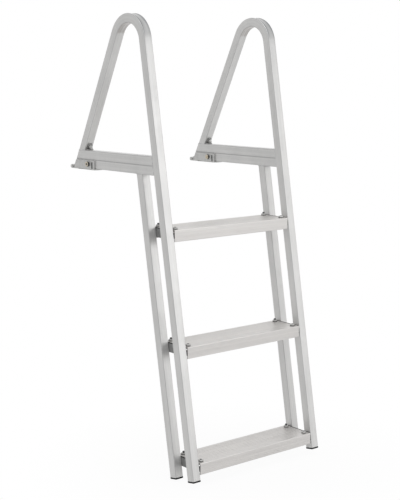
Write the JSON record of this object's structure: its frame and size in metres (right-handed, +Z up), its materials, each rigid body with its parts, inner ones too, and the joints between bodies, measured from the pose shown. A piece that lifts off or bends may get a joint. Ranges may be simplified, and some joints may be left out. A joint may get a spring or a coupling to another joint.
{
  "type": "dock ladder",
  "caption": "Flip-up aluminium dock ladder: leaning square-tube side frames with hairpin handrails, ribbed treads and hinged dock brackets.",
  "frame": {"origin": "middle of the left dock bracket's base, on the face that lies on the dock", "axes": "+Z up, -Y towards the water and the treads, +Y over the dock, +X from the left frame to the right frame"},
  "size_m": [0.484, 0.5508, 1.2322],
  "materials": {
    "tube": "mill finish, square tube",
    "tread": "ribbed extrusion",
    "bracket": "folded plate",
    "cast": "cast, satin",
    "angle": "dull plate, in the shade",
    "cleat": "dark plate",
    "steel": "zinc plated",
    "yellow_zinc": "yellow zinc plated",
    "buffer": "black moulded",
    "cap": "black moulded"
  },
  "bodies": {
    "dock_brackets": {"bracket_left": "bracket", "bracket_right": "bracket", "buffer_left": "buffer", "buffer_right": "buffer", "hinge_pin_left": "steel", "hinge_pin_right": "steel", "cross_bolt_left": "yellow_zinc", "cross_bolt_right": "yellow_zinc"},
    "ladder": {"front_rail_left": "tube", "front_rail_right": "tube", "rear_rail_left": "tube", "rear_rail_right": "tube", "deck_rail_lower_left": "tube", "deck_rail_lower_right": "tube", "deck_rail_upper_left": "tube", "deck_rail_upper_right": "tube", "hinge_lug_left": "cast", "hinge_lug_right": "cast", "deck_plug_left": "cap", "deck_plug_right": "cap", "corner_cleat_left": "cleat", "corner_cleat_right": "cleat", "cleat_bolt_left": "steel", "cleat_bolt_right": "steel", "foot_cap_front_left": "cap", "foot_cap_front_right": "cap", "foot_cap_rear_left": "cap", "foot_cap_rear_right": "cap", "tread_bottom": "tread", "step_bracket_bottom_left": "angle", "step_bracket_bottom_right": "angle", "tread_middle": "tread", "step_bracket_middle_left": "angle", "step_bracket_middle_right": "angle", "tread_top": "tread", "step_bracket_top_left": "angle", "step_bracket_top_right": "angle"}
  },
  "joints": [
    {"name": "flip_up", "type": "hinge", "parent": "dock_brackets", "child": "ladder", "pos_m": [0, 0.06055, 0.0055], "axis": [-1, 0, 0], "range_deg": [0, 115]}
  ]
}
